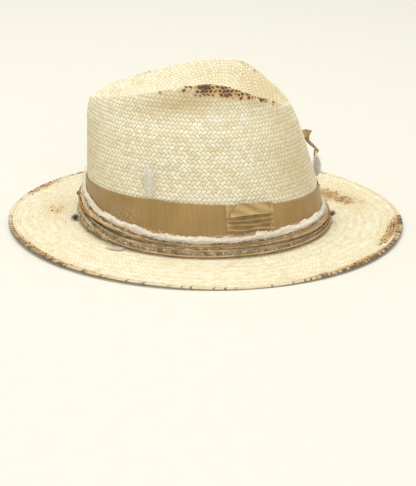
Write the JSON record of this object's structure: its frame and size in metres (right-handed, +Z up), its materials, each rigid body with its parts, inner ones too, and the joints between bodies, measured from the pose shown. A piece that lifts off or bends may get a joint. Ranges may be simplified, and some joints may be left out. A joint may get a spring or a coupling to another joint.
{
  "type": "straw fedora hat",
  "caption": "Pale woven straw fedora with a pinched crown, flat brim, worn ribbon, layered frayed wraps and a hanging feather charm.",
  "frame": {"origin": "middle of the overall box in plan, on the plane the brim's underside rests on", "axes": "+Z up through the crown, -Y the way the wearer faces, +X the wearer's left"},
  "size_m": [0.31, 0.334, 0.1294],
  "materials": {
    "straw_body": "pale woven straw, matt",
    "straw_edge": "braided straw, scorched",
    "sweatband_leather": "smooth tan leather",
    "reed_cord": "covered cord",
    "bow_satin": "satin ribbon",
    "tag_card": "plain card",
    "ribbon_grosgrain": "ribbed silky ribbon, worn",
    "patch_silk": "creased silky ribbon",
    "flap_silk": "folded silky ribbon",
    "fray_cotton": "frayed raw cotton",
    "roll_cloth": "twisted cloth",
    "rope_denim": "frayed tweedy cloth",
    "lace_upper_leather": "waxed twisted lace",
    "lace_middle_leather": "waxed twisted lace",
    "lace_lower_leather": "waxed twisted lace",
    "tuft_thread": "dark thread",
    "knot_leather": "knotted lace",
    "bead_wood": "dark oiled wood",
    "end_cotton": "raw cotton",
    "quartz_crystal": "clear, slightly milky",
    "quartz_thread_cotton": "fine thread",
    "knob_brass": "dull brass",
    "stem_twine": "stiff twisted twine",
    "tab_cloth": "knotted cloth",
    "loop_brass": "thin wire",
    "quill_horn": "natural quill",
    "vane_down": "soft down"
  },
  "bodies": {
    "hat": {"woven_hat_body": "straw_body", "brim_edge_braid": "straw_edge", "sweatband": "sweatband_leather", "sweatband_reed": "reed_cord", "sweatband_bow": "bow_satin", "size_tag": "tag_card", "ribbon_band": "ribbon_grosgrain", "ribbon_patch": "patch_silk", "ribbon_flap": "flap_silk", "frayed_strip": "fray_cotton", "twisted_roll": "roll_cloth", "denim_rope": "rope_denim", "lace_upper": "lace_upper_leather", "lace_middle": "lace_middle_leather", "lace_lower": "lace_lower_leather", "rope_tuft": "tuft_thread", "lace_knot": "knot_leather", "wood_bead": "bead_wood", "loose_end": "end_cotton", "quartz_point": "quartz_crystal", "quartz_thread": "quartz_thread_cotton", "trim_knob": "knob_brass", "trim_stem": "stem_twine", "trim_tab": "tab_cloth"},
    "feather_charm": {"feather_loop": "loop_brass", "feather_quill": "quill_horn", "feather_vane": "vane_down"}
  },
  "joints": [
    {"name": "feather_swing", "type": "hinge", "parent": "hat", "child": "feather_charm", "pos_m": [0.03476, -0.08842, 0.057], "axis": [-0.8332, -0.553, 0], "range_deg": [0, 75]}
  ]
}
